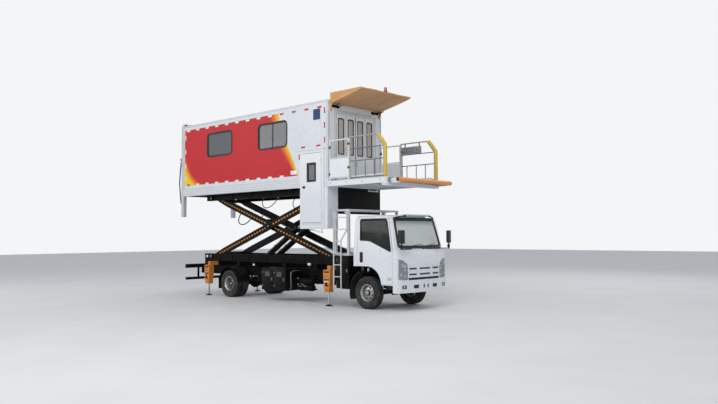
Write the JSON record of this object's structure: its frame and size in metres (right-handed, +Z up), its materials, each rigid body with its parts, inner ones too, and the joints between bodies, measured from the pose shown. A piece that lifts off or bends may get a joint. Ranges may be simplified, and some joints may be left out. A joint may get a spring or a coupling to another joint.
{
  "type": "airport passenger lift truck",
  "caption": "Cab-over truck with a closed passenger cabin on a scissor lift, a railed boarding platform over the cab, a side door with a step well and a folding tail lift",
  "frame": {"origin": "on the ground below the middle of the whole truck's length and width", "axes": "+X forward along the truck, +Y to its left, +Z up"},
  "size_m": [9.1885, 2.1239, 5.5753],
  "materials": {
    "chassis_black": "satin chassis black",
    "cast_dark": "dull",
    "box_black": "matt",
    "orange_paint": "gloss",
    "steel": "bright",
    "lamp_lens": "clear lens",
    "grey_paint": "gloss",
    "white_cab": "gloss",
    "cab_trim": "grained",
    "glass": "tinted",
    "bumper_white": "gloss",
    "mirror_black": "matt",
    "tyre_rubber": "matt",
    "rim_silver": "silver",
    "arm_black": "gloss black",
    "cylinder_black": "gloss black",
    "rod_chrome": "polished",
    "cabin_steel": "black paint",
    "cabin_panel": "gloss panels in white, red, yellow and orange",
    "deck_panel": "painted",
    "rail_white": "gloss",
    "pad_yellow": "foam",
    "canopy_fabric": "coated cloth",
    "beacon_lens": "amber",
    "door_panel": "painted",
    "roll_orange": "soft",
    "tail_grey": "plain"
  },
  "bodies": {
    "chassis": {"frame_rails": "chassis_black", "lift_frame": "chassis_black", "lower_tracks": "chassis_black", "engine_block": "cast_dark", "rear_axle": "cast_dark", "leaf_springs": "cast_dark", "front_axle": "cast_dark", "side_boxes": "box_black", "stabiliser_housings": "orange_paint", "rear_guards": "box_black", "lamps": "lamp_lens", "ladder_gantry": "grey_paint", "cab_shell": "white_cab", "cab_fittings": "cab_trim", "windscreen": "glass", "front_bumper": "bumper_white", "mirrors": "mirror_black"},
    "left_steering": {"knuckle_left": "cast_dark"},
    "right_steering": {"knuckle_right": "cast_dark"},
    "front_left_wheel": {"front_tyre_left": "tyre_rubber", "front_rim_left": "rim_silver"},
    "front_right_wheel": {"front_tyre_right": "tyre_rubber", "front_rim_right": "rim_silver"},
    "rear_left_wheels": {"rear_tyres_left": "tyre_rubber", "rear_rims_left": "rim_silver"},
    "rear_right_wheels": {"rear_tyres_right": "tyre_rubber", "rear_rims_right": "rim_silver"},
    "left_cab_door": {"cab_door_left": "white_cab", "cab_door_glass_left": "glass"},
    "right_cab_door": {"cab_door_right": "white_cab", "cab_door_glass_right": "glass"},
    "rear_stabilisers": {"rear_stabiliser_legs": "steel"},
    "front_stabilisers": {"front_stabiliser_legs": "steel"},
    "outer_scissor_arms": {"outer_arms": "arm_black"},
    "inner_scissor_arms": {"inner_arms": "arm_black"},
    "cylinder_barrels": {"lift_cylinders": "cylinder_black"},
    "cylinder_rods": {"lift_rods": "rod_chrome"},
    "cabin": {"cabin_frame": "cabin_steel", "cabin_wall_left": "cabin_panel", "cabin_wall_right": "cabin_panel", "cabin_ends": "cabin_panel", "cabin_roof": "cabin_panel", "side_door_frame": "cabin_panel", "cabin_windows": "glass", "boarding_platform": "deck_panel", "platform_rails": "rail_white", "rail_pads": "pad_yellow", "canopy": "canopy_fabric", "beacon": "beacon_lens", "tail_columns": "grey_paint"},
    "side_door_leaf": {"side_door": "door_panel"},
    "right_outer_leaf": {"front_leaf_1": "door_panel"},
    "right_inner_leaf": {"front_leaf_2": "door_panel"},
    "left_inner_leaf": {"front_leaf_3": "door_panel"},
    "left_outer_leaf": {"front_leaf_4": "door_panel"},
    "sliding_edge": {"platform_slide": "deck_panel", "front_roll": "roll_orange"},
    "tail_lift_carriage": {"tail_carriage": "chassis_black"},
    "tail_lift_platform": {"tail_platform": "tail_grey"}
  },
  "joints": [
    {"name": "steer_right", "type": "hinge", "parent": "chassis", "child": "right_steering", "pos_m": [3.4375, -0.62, 0.37], "axis": [0, 0, 1], "range_deg": [-35, 35]},
    {"name": "steer_left", "type": "hinge", "parent": "chassis", "child": "left_steering", "pos_m": [3.4375, 0.62, 0.37], "axis": [0, 0, 1], "range_deg": [-35, 35]},
    {"name": "front_right_wheel_turn", "type": "hinge", "parent": "right_steering", "child": "front_right_wheel", "pos_m": [3.4375, -0.83, 0.395], "axis": [0, 1, 0], "continuous": true},
    {"name": "front_left_wheel_turn", "type": "hinge", "parent": "left_steering", "child": "front_left_wheel", "pos_m": [3.4375, 0.83, 0.395], "axis": [0, 1, 0], "continuous": true},
    {"name": "rear_right_wheel_turn", "type": "hinge", "parent": "chassis", "child": "rear_right_wheels", "pos_m": [-1.9925, -0.765, 0.395], "axis": [0, 1, 0], "continuous": true},
    {"name": "rear_left_wheel_turn", "type": "hinge", "parent": "chassis", "child": "rear_left_wheels", "pos_m": [-1.9925, 0.765, 0.395], "axis": [0, 1, 0], "continuous": true},
    {"name": "right_cab_door_hinge", "type": "hinge", "parent": "chassis", "child": "right_cab_door", "pos_m": [4.2895, -0.97, 1.29], "axis": [0, 0, 1], "range_deg": [0, 70]},
    {"name": "left_cab_door_hinge", "type": "hinge", "parent": "chassis", "child": "left_cab_door", "pos_m": [4.2895, 0.97, 1.29], "axis": [0, 0, -1], "range_deg": [0, 70]},
    {"name": "rear_stabiliser_stroke", "type": "slide", "parent": "chassis", "child": "rear_stabilisers", "axis": [0, 0, 1], "range_m": [0, 0.3]},
    {"name": "front_stabiliser_stroke", "type": "slide", "parent": "chassis", "child": "front_stabilisers", "axis": [0, 0, 1], "range_m": [0, 0.3]},
    {"name": "scissor_lift", "type": "hinge", "parent": "chassis", "child": "outer_scissor_arms", "pos_m": [-3.3525, 0, 1.17], "axis": [0, -1, 0], "range_deg": [-5, 20.5]},
    {"name": "scissor_centre", "type": "hinge", "parent": "outer_scissor_arms", "child": "inner_scissor_arms", "pos_m": [-0.7425, 0, 2.0675], "axis": [0, -1, 0], "range_deg": [-41, 10]},
    {"name": "cabin_pivot", "type": "hinge", "parent": "inner_scissor_arms", "child": "cabin", "pos_m": [-3.3525, 0, 2.965], "axis": [0, -1, 0], "range_deg": [-5, 20.5]},
    {"name": "cylinder_foot", "type": "hinge", "parent": "chassis", "child": "cylinder_barrels", "pos_m": [-1.2925, 0, 1.12], "axis": [0, -1, 0], "range_deg": [-7.75, 31.8]},
    {"name": "cylinder_stroke", "type": "slide", "parent": "cylinder_barrels", "child": "cylinder_rods", "axis": [0.8587, 0, 0.5125], "range_m": [-0.1226, 0.503]},
    {"name": "side_door_hinge", "type": "hinge", "parent": "cabin", "child": "side_door_leaf", "pos_m": [1.9925, -1.055, 3.03], "axis": [0, 0, 1], "range_deg": [0, 95]},
    {"name": "right_outer_leaf_hinge", "type": "hinge", "parent": "cabin", "child": "right_outer_leaf", "pos_m": [2.2255, -0.7285, 4.05], "axis": [0, 0, -1], "range_deg": [0, 85]},
    {"name": "right_inner_leaf_hinge", "type": "hinge", "parent": "right_outer_leaf", "child": "right_inner_leaf", "pos_m": [2.1895, -0.365, 4.05], "axis": [0, 0, -1], "range_deg": [-170, 0]},
    {"name": "left_outer_leaf_hinge", "type": "hinge", "parent": "cabin", "child": "left_outer_leaf", "pos_m": [2.2255, 0.7285, 4.05], "axis": [0, 0, 1], "range_deg": [0, 85]},
    {"name": "left_inner_leaf_hinge", "type": "hinge", "parent": "left_outer_leaf", "child": "left_inner_leaf", "pos_m": [2.1895, 0.365, 4.05], "axis": [0, 0, 1], "range_deg": [-170, 0]},
    {"name": "edge_slide", "type": "slide", "parent": "cabin", "child": "sliding_edge", "axis": [1, 0, 0], "range_m": [0, 0.8]},
    {"name": "tail_lift_stroke", "type": "slide", "parent": "cabin", "child": "tail_lift_carriage", "axis": [0, 0, 1], "range_m": [-1.8, 0]},
    {"name": "tail_platform_fold", "type": "hinge", "parent": "tail_lift_carriage", "child": "tail_lift_platform", "pos_m": [-4.5575, 0, 4.24], "axis": [0, -1, 0], "range_deg": [0, 90]}
  ],
  "couplings": [
    {"joint": "steer_left", "follows": "steer_right", "ratio": 1},
    {"joint": "scissor_centre", "follows": "scissor_lift", "ratio": -2},
    {"joint": "cabin_pivot", "follows": "scissor_lift", "ratio": 1},
    {"joint": "cylinder_foot", "follows": "scissor_lift", "ratio": 1.55},
    {"joint": "cylinder_stroke", "follows": "scissor_lift", "m_per_rad": 1.4037},
    {"joint": "right_inner_leaf_hinge", "follows": "right_outer_leaf_hinge", "ratio": -2},
    {"joint": "left_outer_leaf_hinge", "follows": "right_outer_leaf_hinge", "ratio": 1},
    {"joint": "left_inner_leaf_hinge", "follows": "right_outer_leaf_hinge", "ratio": -2}
  ]
}
